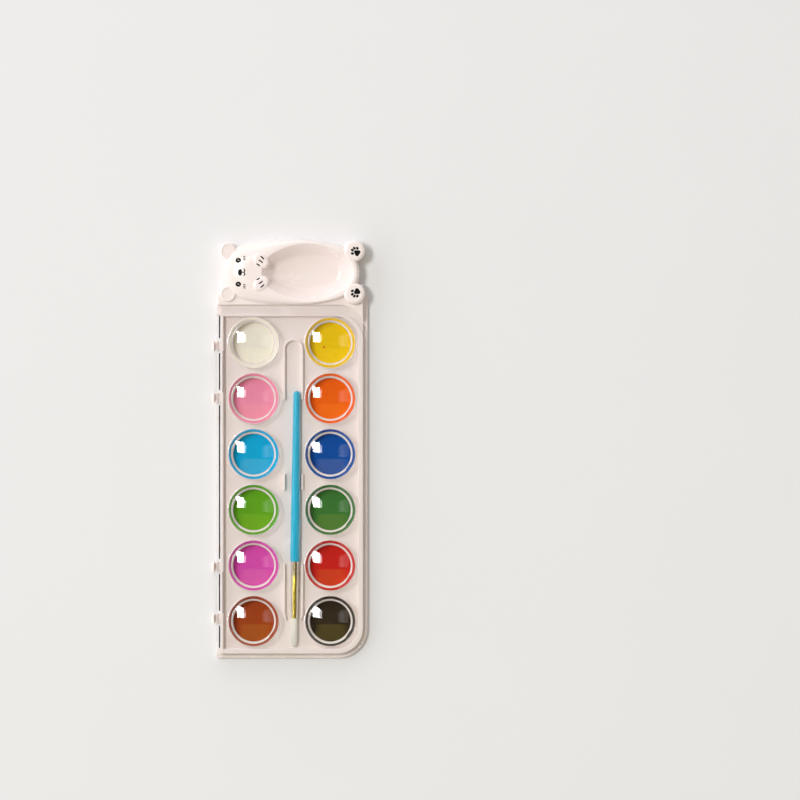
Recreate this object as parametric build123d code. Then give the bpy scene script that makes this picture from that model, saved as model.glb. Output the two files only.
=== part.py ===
"""Watercolour paint set: a moulded tray with twelve paint wells and a bear holding a mixing tub,
a clear hinged lid with a bubble over each well, twelve round paint cakes and a brush.

Millimetres. The set lies on its underside with +Z up, the bear is at the +Y end, the hinge is
along the -X side. Everything is laid out from the middle of the lid, and each finished piece is
then moved so that the origin is the bottom centre of the whole set.
"""

from build123d import *
import math
import os

# Lid
lid_width = 90.4
lid_length = 211.2
lid_corner = 18.0
lid_sheet = 1.4
lid_wall = 1.4
lid_edge_round = 0.6
brush_head_room = 1.1

# Bubbles in the lid, one over each well: the outside, then the hollow below
bubble_radius = 15.3
bubble_shoulder = 1.7
bubble_shoulder_rise = 2.4
bubble_rise = 4.3
bubble_bend = 1.6
bubble_foot_round = 0.9
bubble_foot_margin = 0.6
hollow_radius = 13.4
hollow_shoulder = 1.5
hollow_shoulder_rise = 0.6
hollow_rise = 2.4
hollow_bend = 1.0

# Tray: base, rim and deck
floor_under = 2.0
floor_top = 3.4
skirt_wall = 1.6
rim_gap = 1.1
rim_to_lid = 2.3
rim_wall = 1.6
rim_wall_front = 3.0
rim_round = 0.5
groove_width = 4.7
groove_floor = 7.0
groove_end_gap = 1.0
wall_foot_gap = 0.8
deck_sheet = 1.6
deck_to_lid = 0.6
deck_inset_left = 0.4
deck_inset_right = 2.6
deck_under_bear = 7.3
deck_corner = 8.0
deck_round = 0.6
base_under_bear = 11.8
base_corner = 4.5
corner_block = 5.2
spacer_length = 1.2
spacer_place = 39.3

# Wells and paints
well_rows = 6
well_columns = 2
well_end_margin = 22.1
well_side_margin = 22.2
paint_radius = 12.3
paint_clearance = 0.08
paint_thickness = 2.0
paint_round = 0.5
well_sheet = 1.6
ring_wall = 1.6
ring_height = 3.4
ring_round = 0.5
paint_names = (
    ("cream", "yellow"),
    ("pink", "orange"),
    ("sky_blue", "royal_blue"),
    ("light_green", "green"),
    ("orchid", "red"),
    ("brown", "black"),
)

# Ribs that keep the brush in its channel
channel_x = 0.7
channel_clearance = 1.9
rib_wall = 1.3
rib_height = 2.9
rib_round = 0.35
upper_rib_from_end = 19.5
upper_rib_length = 36.7
lower_rib_from_end = 21.0
lower_rib_length = 35.6
notch_half = 4.2
clip_length = 9.6

# Hinge
hinge_out = 0.9
hinge_below_sheet = 3.8
hinge_from_end = 39.4
hinge_half_span = 15.6
ear_width = 5.2
ear_radius = 2.2
ear_neck_rise = 0.8
ear_clearance = 0.4
pin_radius = 1.1
pin_clearance = 0.06
pin_reach = 4.0
pin_side_gap = 0.2
barrel_radius = 1.5
snap_slot = 1.8

# Bear and mixing tub
bear_x = -0.6
bear_from_lid = 20.2
bear_half_length = 41.2
bear_half_width = 20.0
bear_end_radius = 17.2
brow_head_radius = 14.0
crown_head_radius = 8.5
bear_wall = 1.6
bear_waist = 6.0
bear_shoulder = 10.5
bear_brow = 13.2
bear_height = 14.8
shoulder_head, shoulder_side, shoulder_tail = 0.7, 0.3, 0.3
brow_head, brow_side, brow_tail = 4.6, 0.9, 0.8
crown_head, crown_side, crown_tail = 14.0, 1.9, 1.8
tub_half_length = 27.6
tub_tail_wall = 3.6
tub_side_wall = 3.0
tub_end_share = 0.74
tub_slope = 7.0
tub_floor = 4.2
tub_floor_round = 4.2
tub_lip_round = 0.6
ear_disc_radius = 4.7
ear_disc_from_head = 3.3
ear_disc_from_side = 7.0
ear_disc_height = 11.6
ear_disc_round = 0.8
ear_dish_depth = 0.35
ear_dish_edge = 1.1
foot_radius = 6.4
foot_from_tail = 3.3
foot_from_side = 7.2
foot_height = 15.4
foot_round = 2.0
paw_past_brim = 0.5
paw_y = 6.9
paw_half_length = 5.6
paw_half_width = 4.3
paw_turn = 42.0
paw_height = 15.5
paw_round = 1.9

# Brush
handle_length = 102.6
handle_thin = 2.1
handle_thick = 2.85
handle_belly_length = 18.6
handle_shoulder = 0.5
ferrule_length = 34.0
ferrule_in_handle = 9.0
ferrule_thick = 2.3
ferrule_thin = 2.0
ferrule_taper = 20.0
ferrule_wall = 0.25
ferrule_clearance = 0.02
crimp_depth = 0.15
crimp_width = 1.0
crimp_places = (2.6, 5.2)
tuft_length = 17.0
tuft_strands = 320
tuft_plug = 3.0
tuft_root = 1.62
tuft_spread = 1.95
tuft_end_drop = 2.2
strand_root = 0.08
strand_tip = 0.05
brush_turn = 0.65
brush_side = 2.15
tuft_end_gap = 1.2
brush_rest_gap = 0.05

# Worked out from the sizes above
half_width = lid_width / 2
half_length = lid_length / 2
lid_under = floor_top + 2 * handle_thick + brush_head_room
lid_top = lid_under + lid_sheet
lid_wall_foot = floor_top + wall_foot_gap
rim_top = lid_under - rim_to_lid
rim_x = half_width - lid_wall - rim_gap
rim_front = half_length - lid_wall - rim_gap
rim_head = half_length - groove_width
rim_corner = lid_corner - lid_wall - rim_gap
deck_height = lid_under
row_pitch = (lid_length - 2 * well_end_margin) / (well_rows - 1)
column_pitch = lid_width - 2 * well_side_margin
ring_inner = paint_radius + paint_clearance
ring_outer = ring_inner + ring_wall
channel_half = handle_thick + channel_clearance + rib_wall / 2
upper_rib_top = half_length - upper_rib_from_end
lower_rib_foot = -(half_length - lower_rib_from_end)
axis_x = -(half_width + hinge_out)
hinge_height = lid_under - hinge_below_sheet
hinge_middle = half_length - hinge_from_end
bear_y = half_length + bear_from_lid
deck_left = half_width - deck_inset_left
deck_right = half_width - deck_inset_right
deck_top = bear_y - deck_under_bear
base_top = bear_y - base_under_bear
head_x = bear_x - bear_half_length
tail_x = bear_x + bear_half_length
tub_half_width = bear_half_width - tub_side_wall
tub_x = tail_x - tub_tail_wall - tub_half_length
left_reach = -axis_x + ear_radius
back_reach = bear_y + bear_half_width
origin_shift = Pos((left_reach - half_width) / 2, (half_length - back_reach) / 2, 0)
brush_length = handle_length + ferrule_length + tuft_length
brush_end_y = -(rim_front - rim_wall_front) + tuft_end_gap
brush_tip_y = brush_end_y + brush_length * math.cos(math.radians(brush_turn))
brush_height = floor_top + handle_thick + brush_rest_gap
golden_turn = math.pi * (3 - math.sqrt(5))


def panel(left, right, front, back):
    """A rectangle between four sides."""
    return Pos((left + right) / 2, (front + back) / 2) * Rectangle(right - left, back - front)


def side_panel(left, right, front, back, corner):
    """A rectangle between four sides, with both right-hand corners rounded."""
    sheet = panel(left, right, front, back)
    return fillet(sheet.vertices().group_by(Axis.X)[-1], corner)


def oval(half_long, half_wide, end_share):
    """An oval of four tangent arcs: two small ones at its ends, two large ones along its sides."""
    end_radius = end_share * half_wide
    reach = half_long - end_radius
    side_radius = (reach**2 + half_wide**2 - end_radius**2) / (2 * (half_wide - end_radius))
    share = end_radius / (side_radius - end_radius)
    x = reach * (1 + share)
    y = (side_radius - half_wide) * share
    arcs = [
        ThreePointArc((x, y), (0, half_wide), (-x, y)),
        ThreePointArc((-x, y), (-half_long, 0), (-x, -y)),
        ThreePointArc((-x, -y), (0, -half_wide), (x, -y)),
        ThreePointArc((x, -y), (half_long, 0), (x, y)),
    ]
    return make_face(arcs)


def egg(head, tail, half_wide, head_radius, tail_radius):
    """An oval from head to tail whose two ends have their own radii, joined by tangent arcs."""
    head_middle, tail_middle = head + head_radius, tail - tail_radius
    between = tail_middle - head_middle
    slant = (tail_radius - head_radius) / between
    start = (tail_middle + head_middle - slant * (tail_radius + head_radius)) / 2
    linear = 2 * (half_wide - head_radius) - 2 * slant * (start - head_middle)
    constant = (start - head_middle) ** 2 + half_wide**2 - head_radius**2
    side_radius = 2 * constant / (linear + math.sqrt(linear**2 - 4 * slant**2 * constant))
    middle = slant * side_radius + start
    drop = side_radius - half_wide
    ends = []
    for place, radius in ((head_middle, head_radius), (tail_middle, tail_radius)):
        share = radius / (side_radius - radius)
        ends.append((place + (place - middle) * share, drop * share))
    (head_x_end, head_y_end), (tail_x_end, tail_y_end) = ends
    arcs = [
        ThreePointArc((tail_x_end, tail_y_end), (middle, half_wide), (head_x_end, head_y_end)),
        ThreePointArc((head_x_end, head_y_end), (head, 0), (head_x_end, -head_y_end)),
        ThreePointArc((head_x_end, -head_y_end), (middle, -half_wide), (tail_x_end, -tail_y_end)),
        ThreePointArc((tail_x_end, -tail_y_end), (tail, 0), (tail_x_end, tail_y_end)),
    ]
    return make_face(arcs)


def prism(sketch, low, high):
    """A sketch drawn out between two heights."""
    return extrude(Pos(0, 0, low) * sketch, high - low)


def round_top(solid, radius):
    """Rounds the edges of a solid's highest flat face."""
    return fillet(solid.faces().sort_by(Axis.Z)[-1].edges(), radius)


def well_places():
    """The middle of each well, row by row from the bear's end, left then right."""
    places = []
    for row in range(well_rows):
        for column in range(well_columns):
            x = (column - (well_columns - 1) / 2) * column_pitch
            y = ((well_rows - 1) / 2 - row) * row_pitch
            places.append((x, y))
    return places


def ear_places():
    """The middle of each of the four hinge ears along the hinge."""
    return [side * hinge_middle + end * hinge_half_span for side in (-1, 1) for end in (-1, 1)]


def rim_outline(shrink):
    """The outline of the tray's rim, or of what lies inside it."""
    x, front, back = rim_x - shrink, rim_front - shrink, rim_head - shrink
    return side_panel(-x, x, -front, back, rim_corner - shrink)


def recess_outline():
    """The outline of the floor inside the rim, whose right and front walls are thicker."""
    right = rim_x - rim_wall_front
    front = rim_front - rim_wall_front
    corner = rim_corner - (rim_wall + rim_wall_front) / 2
    return side_panel(-rim_x + rim_wall, right, -front, rim_head - rim_wall, corner)


def lid_outline(grow):
    """The lid's outline, moved outwards all round, or inwards where grow is negative."""
    x, y = half_width + grow, half_length + grow
    return side_panel(-x, x, -y, y, lid_corner + grow)


def base_outline():
    """The base that runs under the lid's walls and along the right side of the deck."""
    sheet = panel(-deck_left, half_width, -half_length, base_top)
    right = sheet.vertices().group_by(Axis.X)[-1].sort_by(Axis.Y)
    sheet = fillet(right[0], lid_corner)
    sheet = fillet(sheet.vertices().sort_by(lambda v: v.X + v.Y)[-1], base_corner)
    slot_end = half_length - corner_block
    return sheet - panel(-deck_left - 1, -rim_x, -slot_end, slot_end)


def groove_outline():
    """The raised strip between the rim and the deck, below the lid's back wall."""
    strip = lid_outline(deck_to_lid) - rim_outline(0)
    return strip & panel(-rim_x, deck_right, half_length - lid_corner, half_length + 1)


def deck_outline(shrink):
    """The deck below the bear, with the lid's round corner cut out of it."""
    front = half_length - lid_corner
    sheet = panel(-deck_left + shrink, deck_right - shrink, front, deck_top - shrink)
    corner = sheet.vertices().sort_by(lambda v: v.Y - v.X)[-1]
    sheet = fillet(corner, deck_corner - shrink)
    return (sheet - lid_outline(deck_to_lid + shrink)).faces().sort_by(Axis.Y)[-1]


def bear_section(height, head, side, tail, shrink, head_radius=bear_end_radius):
    """One level of the bear's body, drawn in from the head, the sides and the tail."""
    low, high = head + shrink - bear_half_length, bear_half_length - tail - shrink
    wide = bear_half_width - side - shrink
    tail_radius = bear_end_radius - side - shrink
    outline = egg(low, high, wide, head_radius - side - shrink, tail_radius)
    return Pos(0, 0, height - shrink) * outline


def bear_body(shrink):
    """The bear's rounded body, from the table up to its flat crown."""
    sections = [
        Pos(0, 0, shrink) * bear_section(0, 0, 0, 0, shrink),
        bear_section(bear_waist, 0, 0, 0, shrink),
        bear_section(bear_shoulder, shoulder_head, shoulder_side, shoulder_tail, shrink),
        bear_section(bear_brow, brow_head, brow_side, brow_tail, shrink, brow_head_radius),
        bear_section(bear_height, crown_head, crown_side, crown_tail, shrink, crown_head_radius),
    ]
    return Pos(bear_x, bear_y, 0) * loft(sections)


def tub_bowl(grow):
    """The space inside the mixing tub, or its outer shape where grow is the wall."""
    brim = oval(tub_half_length + grow, tub_half_width + grow, tub_end_share)
    base = oval(tub_half_length - tub_slope + grow, tub_half_width - tub_slope + grow, tub_end_share)
    bowl = loft([Pos(0, 0, tub_floor - grow) * base, Pos(0, 0, bear_height) * brim])
    bowl = fillet(bowl.faces().sort_by(Axis.Z)[0].edges(), tub_floor_round)
    return Pos(tub_x, bear_y, 0) * bowl


def ear_disc(side, shrink):
    """One of the bear's ears, with a shallow dish in its top."""
    post = prism(Circle(ear_disc_radius - shrink), 0, ear_disc_height - shrink)
    post = round_top(post, ear_disc_round / 2 if shrink else ear_disc_round)
    if not shrink:
        dish = Circle(ear_disc_radius - ear_dish_edge)
        post -= prism(dish, ear_disc_height - ear_dish_depth, ear_disc_height + 1)
    y = bear_y + side * (bear_half_width - ear_disc_from_side)
    return Pos(head_x + ear_disc_from_head, y, 0) * post


def foot_disc(side, shrink):
    """One of the bear's round feet."""
    post = prism(Circle(foot_radius - shrink), 0, foot_height - shrink)
    post = round_top(post, foot_round - shrink / 2)
    y = bear_y + side * (bear_half_width - foot_from_side)
    return Pos(tail_x - foot_from_tail, y, 0) * post


def paw(side):
    """One of the bear's front paws, laid over the tub's brim."""
    shape = prism(Ellipse(paw_half_length, paw_half_width), tub_floor, paw_height)
    brim_end = tub_x - tub_half_length
    place = Pos(brim_end - paw_past_brim, bear_y + side * paw_y, 0)
    place *= Rotation(0, 0, -side * paw_turn)
    return place * round_top(shape, paw_round)


def bear():
    """The bear as a hollow shell with its tub, ears, feet and paws."""
    shell = bear_body(0) - tub_bowl(0)
    brim = shell.faces().sort_by(Axis.Z)[-1].inner_wires()[0]
    shell = fillet(brim.edges(), tub_lip_round)
    hollow = bear_body(bear_wall)
    for side in (-1, 1):
        shell += ear_disc(side, 0)
        shell += foot_disc(side, 0) - tub_bowl(0)
        shell += paw(side)
        hollow += ear_disc(side, bear_wall)
        hollow += foot_disc(side, bear_wall)
    return shell - (hollow - tub_bowl(bear_wall))


def well():
    """One well: a cup down to the table and a raised ring round its paint."""
    cup = prism(Circle(ring_outer), 0, floor_top + ring_height)
    cup -= prism(Circle(ring_inner), well_sheet, floor_top + ring_height)
    return round_top(cup, ring_round)


def hook_outline(round_end, open_end):
    """A long U-shaped rib between its round end and its open end."""
    outline = None
    for radius, sign in ((channel_half + rib_wall / 2, 1), (channel_half - rib_wall / 2, -1)):
        middle = round_end - math.copysign(channel_half + rib_wall / 2, round_end - open_end)
        low, high = sorted((middle, open_end))
        shape = panel(-radius, radius, low, high) + Pos(0, middle) * Circle(radius)
        outline = shape if sign > 0 else outline - shape
    return outline


def brush_ribs():
    """All the ribs of the brush channel, standing on the floor."""
    upper = hook_outline(upper_rib_top, upper_rib_top - upper_rib_length)
    lower = hook_outline(lower_rib_foot, lower_rib_foot + lower_rib_length)
    lower -= Pos(0, lower_rib_foot) * Rectangle(2 * notch_half, 2 * channel_half)
    clips = [Pos(side * channel_half, 0) * Rectangle(rib_wall, clip_length) for side in (-1, 1)]
    ribs = []
    for outline in [upper, lower] + clips:
        for face in outline.faces():
            rib = prism(face, floor_top, floor_top + rib_height)
            ribs.append(Pos(channel_x, 0, 0) * round_top(rib, rib_round))
    return ribs


def hinge_ear(y):
    """One C-shaped ear that holds a pin of the lid, open at the top so that the pin snaps in."""
    neck_length = -axis_x - rim_x + rim_wall / 2
    neck_low, neck_high = -ear_radius, ear_neck_rise
    outline = Circle(ear_radius) + panel(0, neck_length, neck_low, neck_high)
    outline -= Circle(pin_radius + pin_clearance)
    outline -= panel(-snap_slot / 2, snap_slot / 2, 0, 2 * ear_radius)
    ear = extrude(Plane.XZ * outline, ear_width / 2, both=True)
    return Pos(axis_x, y, hinge_height) * ear


def tray():
    """The whole tray in one moulding."""
    body = prism(base_outline(), 0, floor_top)
    deck = round_top(prism(deck_outline(0), 0, deck_height), deck_round)
    body += deck
    for side in (-1, 1):
        y = side * spacer_place
        spacer = panel(-half_width, -rim_x, y - spacer_length / 2, y + spacer_length / 2)
        body += prism(spacer, 0, floor_top)
    body += round_top(prism(rim_outline(0) - recess_outline(), floor_top, rim_top), rim_round)
    body += prism(groove_outline(), 0, groove_floor)
    body -= prism(rim_outline(skirt_wall), 0, floor_under)
    body -= prism(deck_outline(deck_sheet), 0, deck_height - deck_sheet)
    body -= bear_body(bear_wall)
    body += bear()
    body -= prism(deck_outline(deck_sheet), 0, floor_under)
    body += [Pos(x, y, 0) * well() for x, y in well_places()]
    for x, y in well_places():
        body -= Pos(x, y, 0) * prism(Circle(ring_inner), well_sheet, floor_top + ring_height)
    body += brush_ribs()
    body += [hinge_ear(y) for y in ear_places()]
    return body


def bubble(radius, shoulder, shoulder_rise, rise, bend, foot):
    """A solid bubble turned from its section: a steep shoulder that rounds into a low crown.

    It reaches down by foot, and its side down there is straight.
    """
    corner = (radius - shoulder, shoulder_rise)
    sag = rise - shoulder_rise
    crown_radius = (corner[0] ** 2 + sag**2) / (2 * sag)
    half_angle = math.asin(corner[0] / crown_radius) / 2
    middle_z = rise - crown_radius * (1 - math.cos(half_angle))
    middle = (crown_radius * math.sin(half_angle), middle_z)
    lines = [
        Line((0, -foot), (radius, -foot)),
        Line((radius, -foot), (radius, 0)),
        Line((radius, 0), corner),
        ThreePointArc(corner, middle, (0, rise)),
        Line((0, rise), (0, -foot)),
    ]
    section = make_face(lines)
    corner_point = section.vertices().sort_by_distance(Vector(*corner, 0))[0]
    return revolve(Plane.XZ * fillet(corner_point, bend), Axis.Z)


def bubble_cap():
    """The outside of one bubble with a rounded foot, on a thin disc that sinks into the sheet."""
    disc_radius = bubble_radius + bubble_foot_margin
    cap = bubble(
        bubble_radius, bubble_shoulder, bubble_shoulder_rise, bubble_rise, bubble_bend, lid_sheet / 2
    )
    cap += prism(Circle(disc_radius), -lid_sheet / 2, 0)
    inner_ring = 2 * math.pi * (bubble_radius + bubble_foot_margin / 2)
    foot = cap.edges().filter_by(lambda e: abs(e.center().Z) < 0.01 and e.length < inner_ring)
    return fillet(foot, bubble_foot_round)


def bubble_hollow():
    """The hollow below one bubble, from the sheet's underside up."""
    return bubble(
        hollow_radius, hollow_shoulder, hollow_shoulder_rise, hollow_rise, hollow_bend, lid_sheet
    )


def lid():
    """The clear lid with its walls, bubbles and hinge bars."""
    body = round_top(prism(lid_outline(0), lid_wall_foot, lid_top), lid_edge_round)
    body -= prism(lid_outline(-lid_wall), lid_wall_foot, lid_under)
    back = half_length - lid_corner - groove_end_gap
    above_groove = panel(-half_width + lid_wall, deck_right + groove_end_gap, back, half_length + 1)
    body -= prism(above_groove, lid_wall_foot - 1, groove_floor + wall_foot_gap)
    cap = bubble_cap()
    hollow = bubble_hollow()
    body += [Pos(x, y, lid_top) * cap for x, y in well_places()]
    for x, y in well_places():
        body -= Pos(x, y, lid_under) * hollow
    notch_width = ear_width + 2 * ear_clearance
    notch_top = hinge_height + ear_radius + ear_clearance
    for y in ear_places():
        notch = panel(-half_width - 1, -half_width + lid_wall, y - notch_width / 2, y + notch_width / 2)
        body -= prism(notch, lid_wall_foot - 1, notch_top)
    barrel_half = hinge_half_span - ear_width / 2 - pin_side_gap
    for side in (-1, 1):
        place = Pos(axis_x, side * hinge_middle, hinge_height) * Rotation(90, 0, 0)
        body += place * Cylinder(barrel_radius, 2 * barrel_half)
        body += place * Cylinder(pin_radius, 2 * (barrel_half + pin_reach))
    return body


def paint_cake():
    """One round paint cake, lying in its well."""
    cake = prism(Circle(paint_radius), well_sheet, well_sheet + paint_thickness)
    return round_top(cake, paint_round)


def brush_place():
    """Where the brush lies: its axis runs along -Y from the handle's tip to the tuft."""
    return (
        Pos(channel_x + brush_side, brush_tip_y, brush_height)
        * Rotation(0, 0, -brush_turn)
        * Rotation(90, 0, 0)
    )


def handle():
    """The brush's handle: a rounded tip, a long taper to its belly and a neck in the ferrule."""
    neck = ferrule_thick - ferrule_wall - ferrule_clearance
    end = handle_length
    belly = end - handle_belly_length
    lines = [
        Line((0, 0), (0, end + ferrule_in_handle)),
        Line((0, end + ferrule_in_handle), (neck, end + ferrule_in_handle)),
        Line((neck, end + ferrule_in_handle), (neck, end)),
        Line((neck, end), (handle_thick - handle_shoulder, end)),
        Line((handle_thick - handle_shoulder, end), (handle_thick, end - 2 * handle_shoulder)),
        Line((handle_thick, end - 2 * handle_shoulder), (handle_thick, belly)),
        Line((handle_thick, belly), (handle_thin, handle_thin)),
        ThreePointArc(
            (handle_thin, handle_thin),
            (handle_thin * math.sin(math.pi / 4), handle_thin * (1 - math.cos(math.pi / 4))),
            (0, 0),
        ),
    ]
    profile = Plane.XZ * make_face(lines)
    return brush_place() * revolve(profile, Axis.Z)


def ferrule_radius(along):
    """The ferrule's outer radius at a distance from its handle end."""
    share = min(max((along - (ferrule_length - ferrule_taper)) / ferrule_taper, 0), 1)
    return ferrule_thick + (ferrule_thin - ferrule_thick) * share


def ferrule():
    """The metal tube that joins the tuft to the handle, crimped twice over the handle's neck."""
    bend = ferrule_length - ferrule_taper
    outer = [(ferrule_radius(y), y) for y in (0, bend, ferrule_length)]
    inner = [(x - ferrule_wall, y) for x, y in reversed(outer)]
    tube = revolve(Plane.XZ * make_face(Polyline(*outer, *inner, close=True)), Axis.Z)
    for place in crimp_places:
        wide = crimp_width / 2
        points = [
            (ferrule_thick + crimp_depth, place - wide),
            (ferrule_thick, place - wide),
            (ferrule_thick - crimp_depth, place),
            (ferrule_thick, place + wide),
            (ferrule_thick + crimp_depth, place + wide),
        ]
        tube -= revolve(Plane.XZ * make_face(Polyline(*points, close=True)), Axis.Z)
    return brush_place() * Pos(0, 0, handle_length) * tube


def strand(index):
    """One bristle, a four-sided taper whose place follows a sunflower's seeds."""
    share = math.sqrt((index + 0.5) / tuft_strands)
    turn = index * golden_turn
    across, up = math.cos(turn), math.sin(turn)
    root = share * (tuft_root - strand_root)
    tip = share * (tuft_spread - strand_tip)
    length = tuft_length - tuft_end_drop * share**2
    base = Pos(root * across, root * up, -strand_root) * RegularPolygon(strand_root, 4)
    end = Pos(tip * across, tip * up, length) * RegularPolygon(strand_tip, 4)
    return Solid.make_loft([base.face().outer_wire(), end.face().outer_wire()], True)


def bristles():
    """The tuft: its plug in the ferrule and every bristle, in one fuse."""
    plug_radius = ferrule_thin - ferrule_wall - ferrule_clearance
    plug = Solid.make_cylinder(plug_radius, tuft_plug, Plane((0, 0, -tuft_plug)))
    tuft = plug.fuse(*[strand(index) for index in range(tuft_strands)])
    return brush_place() * Pos(0, 0, handle_length + ferrule_length) * tuft


def write(shape, name):
    """Moves a finished piece to the set's origin and writes it."""
    export_step(origin_shift * shape, f"parts/{name}.step")


def main():
    """Builds every piece and writes it under its own name."""
    os.makedirs("parts", exist_ok=True)
    write(tray(), "tray")
    write(lid(), "lid")
    cake = paint_cake()
    names = [name for row in paint_names for name in row]
    for name, (x, y) in zip(names, well_places()):
        write(Pos(x, y, 0) * cake, f"paint_{name}")
    write(handle(), "brush_handle")
    write(ferrule(), "brush_ferrule")
    write(bristles(), "brush_bristles")


main()
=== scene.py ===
"""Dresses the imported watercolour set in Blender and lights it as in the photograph.

Metres. The set lies on its underside with +Z up. The bear is at the +Y end and the lid's hinge
runs along the -X side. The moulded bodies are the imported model's own nodes with finishes of their
own. The bear's printed ink and the brush's tuft are surfaces worked out here.
"""

from __future__ import annotations

import logging
import math
from dataclasses import dataclass
from enum import Enum
from typing import Union

import bmesh
import bpy
import numpy as np
from mathutils import Euler, Matrix, Vector

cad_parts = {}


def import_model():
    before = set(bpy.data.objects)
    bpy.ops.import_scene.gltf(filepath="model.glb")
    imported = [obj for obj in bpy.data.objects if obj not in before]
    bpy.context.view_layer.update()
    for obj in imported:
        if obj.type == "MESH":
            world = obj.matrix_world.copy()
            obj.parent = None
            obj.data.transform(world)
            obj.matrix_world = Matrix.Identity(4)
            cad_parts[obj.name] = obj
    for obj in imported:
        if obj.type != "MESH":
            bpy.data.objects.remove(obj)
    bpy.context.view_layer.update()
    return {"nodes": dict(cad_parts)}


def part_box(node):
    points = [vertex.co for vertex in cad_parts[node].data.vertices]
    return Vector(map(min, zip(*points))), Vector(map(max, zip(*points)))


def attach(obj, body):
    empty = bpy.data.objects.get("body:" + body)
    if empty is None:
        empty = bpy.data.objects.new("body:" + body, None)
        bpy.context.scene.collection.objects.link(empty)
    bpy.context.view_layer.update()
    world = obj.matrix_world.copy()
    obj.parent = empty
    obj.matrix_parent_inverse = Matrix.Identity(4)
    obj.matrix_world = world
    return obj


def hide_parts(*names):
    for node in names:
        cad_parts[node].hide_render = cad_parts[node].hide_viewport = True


MM = 0.001

log = logging.getLogger("watercolour_set")

Colour = tuple[float, float, float]
Point = tuple[float, float, float]
Pair = tuple[float, float]
Socket = bpy.types.NodeSocket
Feed = Union[Socket, float, tuple[float, ...]]

LIGHTEST = 0.96
PLASTIC_IOR = 1.5
PRINT_HEIGHT = 25.0
WELD = 0.0001 * MM


class Body(Enum):
    """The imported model's bodies that new pieces ride on."""

    TRAY = "tray_body"
    BRUSH = "brush_body"


class Pan(Enum):
    """The twelve pressed paints, each with its colour as linear light."""

    CREAM = ("cream", (0.96, 0.91, 0.78))
    YELLOW = ("yellow", (0.94, 0.62, 0.003))
    PINK = ("pink", (0.96, 0.30, 0.46))
    ORANGE = ("orange", (0.96, 0.132, 0.001))
    SKY_BLUE = ("sky_blue", (0.001, 0.43, 0.77))
    ROYAL_BLUE = ("royal_blue", (0.001, 0.078, 0.38))
    LIGHT_GREEN = ("light_green", (0.124, 0.40, 0.010))
    GREEN = ("green", (0.045, 0.185, 0.030))
    ORCHID = ("orchid", (0.73, 0.078, 0.46))
    RED = ("red", (0.62, 0.014, 0.008))
    BROWN = ("brown", (0.37, 0.054, 0.006))
    BLACK = ("black", (0.028, 0.017, 0.006))


class Ink(Enum):
    """The printing inks, each with its material's name and its colour as linear light."""

    BLACK = ("ink_black", (0.006, 0.005, 0.005))
    GREY = ("ink_grey", (0.055, 0.046, 0.043))
    WHITE = ("ink_white", (0.62, 0.60, 0.58))


def shade(colour: Colour, factor: float) -> Colour:
    """Returns a colour made darker or lighter by a factor, kept at or below the lightest."""
    return tuple(min(channel * factor, LIGHTEST) for channel in colour)


def opaque(colour: Colour) -> tuple[float, float, float, float]:
    """Returns a colour with full alpha, as a colour socket takes it."""
    return (*colour, 1.0)


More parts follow.
